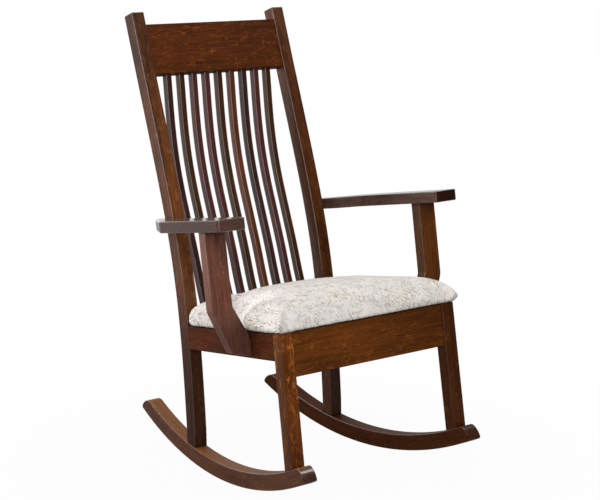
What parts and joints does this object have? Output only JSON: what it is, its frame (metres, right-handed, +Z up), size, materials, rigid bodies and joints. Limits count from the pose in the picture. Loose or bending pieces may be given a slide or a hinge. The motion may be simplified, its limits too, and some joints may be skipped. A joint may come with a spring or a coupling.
{
  "type": "rocking chair",
  "caption": "Wooden rocking chair on curved runners, with a reclined slatted back, flat armrests on angled supports and a padded drop-in seat.",
  "frame": {"origin": "on the floor, under the middle of the chair's bounding box; the runners touch the floor within a millimetre of Y zero", "axes": "+X towards the sitter's left and square to the plane of symmetry, -Y the way the sitter faces, +Z up"},
  "size_m": [0.7244, 0.782, 1.1085],
  "materials": {
    "stained_oak": "satin",
    "plain_beech": "matte",
    "plywood": "matte",
    "screw_steel": "satin",
    "seat_fabric": "matte"
  },
  "bodies": {
    "root": {"back_slat_1": "stained_oak", "back_slat_2": "stained_oak", "back_slat_3": "stained_oak", "back_slat_4": "stained_oak", "back_slat_5": "stained_oak", "back_slat_6": "stained_oak", "back_slat_7": "stained_oak", "back_slat_8": "stained_oak", "back_slat_9": "stained_oak", "crest_rail": "stained_oak", "front_seat_rail": "stained_oak", "left_arm": "stained_oak", "left_arm_dowel_1": "plain_beech", "left_arm_dowel_2": "plain_beech", "left_arm_support": "stained_oak", "left_back_post": "stained_oak", "left_front_corner_block": "plain_beech", "left_front_leg": "stained_oak", "left_front_seat_screw": "screw_steel", "left_rear_corner_block": "plain_beech", "left_rear_seat_screw": "screw_steel", "left_runner": "stained_oak", "left_side_rail": "stained_oak", "left_support_screw_1": "screw_steel", "left_support_screw_2": "screw_steel", "rear_seat_rail": "stained_oak", "right_arm": "stained_oak", "right_arm_dowel_1": "plain_beech", "right_arm_dowel_2": "plain_beech", "right_arm_support": "stained_oak", "right_back_post": "stained_oak", "right_front_corner_block": "plain_beech", "right_front_leg": "stained_oak", "right_front_seat_screw": "screw_steel", "right_rear_corner_block": "plain_beech", "right_rear_seat_screw": "screw_steel", "right_runner": "stained_oak", "right_side_rail": "stained_oak", "right_support_screw_1": "screw_steel", "right_support_screw_2": "screw_steel", "seat_board": "plywood", "seat_cushion": "seat_fabric"}
  },
  "joints": []
}
